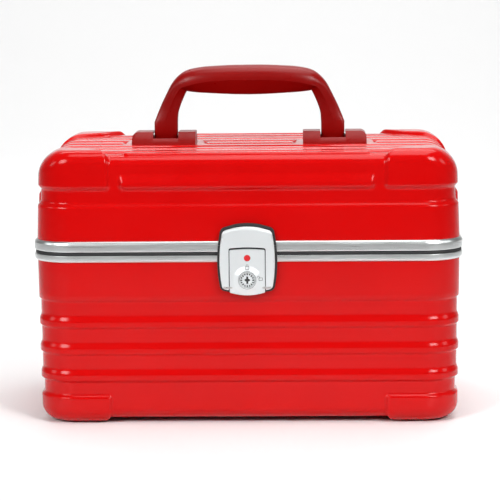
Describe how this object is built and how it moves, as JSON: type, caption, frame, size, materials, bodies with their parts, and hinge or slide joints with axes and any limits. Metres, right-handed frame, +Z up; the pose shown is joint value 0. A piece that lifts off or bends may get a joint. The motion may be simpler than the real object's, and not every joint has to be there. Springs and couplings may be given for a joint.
{
  "type": "vanity case",
  "caption": "Hard-shell vanity case: grooved moulded base and hinged lid in a metal frame, with a front lever latch, key lock and folding top handle.",
  "frame": {"origin": "on the floor under the middle of the case, at the underside of the feet", "axes": "+X to the right along the width, -Y towards the front with the latch, +Z up"},
  "size_m": [0.3446, 0.2284, 0.2825],
  "materials": {
    "shell": "glossy moulded polycarbonate",
    "frame": "satin anodised",
    "seal": "matt black",
    "lining": "woven lining",
    "feet": "matt black",
    "rivets": "plain",
    "hinge": "satin",
    "steel": "plain",
    "bezel": "satin black",
    "latch": "satin silver",
    "lock": "polished",
    "indicator": "gloss red",
    "handle": "satin dark red",
    "mirror_rim": "matt black",
    "mirror": "silvered glass"
  },
  "bodies": {
    "base": {"base_shell": "shell", "base_frame": "frame", "frame_seal": "seal", "base_lining": "lining", "feet": "feet", "base_splice": "frame", "base_rivets": "rivets", "hinge_base_left": "hinge", "hinge_base_right": "hinge", "hinge_pins": "steel", "hinge_rivets_base": "rivets", "latch_bezel_lower": "bezel", "lock_plate": "latch", "lever_pins": "steel", "lever_springs": "steel", "lock_screws": "steel", "lock_indicator": "indicator"},
    "lid": {"lid_shell": "shell", "lid_frame": "frame", "lid_lining": "lining", "lid_splice": "frame", "lid_rivets": "rivets", "hinge_lid_left": "hinge", "hinge_lid_right": "hinge", "hinge_rivets_lid": "rivets", "latch_bezel_upper": "bezel", "latch_keeper": "steel", "bezel_screws": "steel", "handle_mount_left": "handle", "handle_mount_right": "handle", "handle_pins": "steel", "handle_backplates": "frame", "handle_screws": "steel", "mirror_frame": "mirror_rim", "mirror_glass": "mirror"},
    "latch_lever": {"latch_lever": "latch", "lever_hook": "steel"},
    "key_plug": {"key_plug": "lock", "lock_cam": "steel"},
    "handle": {"handle": "handle"}
  },
  "joints": [
    {"name": "lid_hinge", "type": "hinge", "parent": "base", "child": "lid", "pos_m": [0, 0.111, 0.1386], "axis": [-1, 0, 0], "range_deg": [0, 95]},
    {"name": "lever_hinge", "type": "hinge", "parent": "base", "child": "latch_lever", "pos_m": [0, -0.11145, 0.112], "axis": [1, 0, 0], "range_deg": [0, 75]},
    {"name": "key_turn", "type": "hinge", "parent": "base", "child": "key_plug", "pos_m": [0, -0.1136, 0.1182], "axis": [0, 1, 0], "range_deg": [0, 90]},
    {"name": "handle_fold", "type": "hinge", "parent": "lid", "child": "handle", "pos_m": [0, 0, 0.2235], "axis": [1, 0, 0], "range_deg": [-62, 62]}
  ]
}
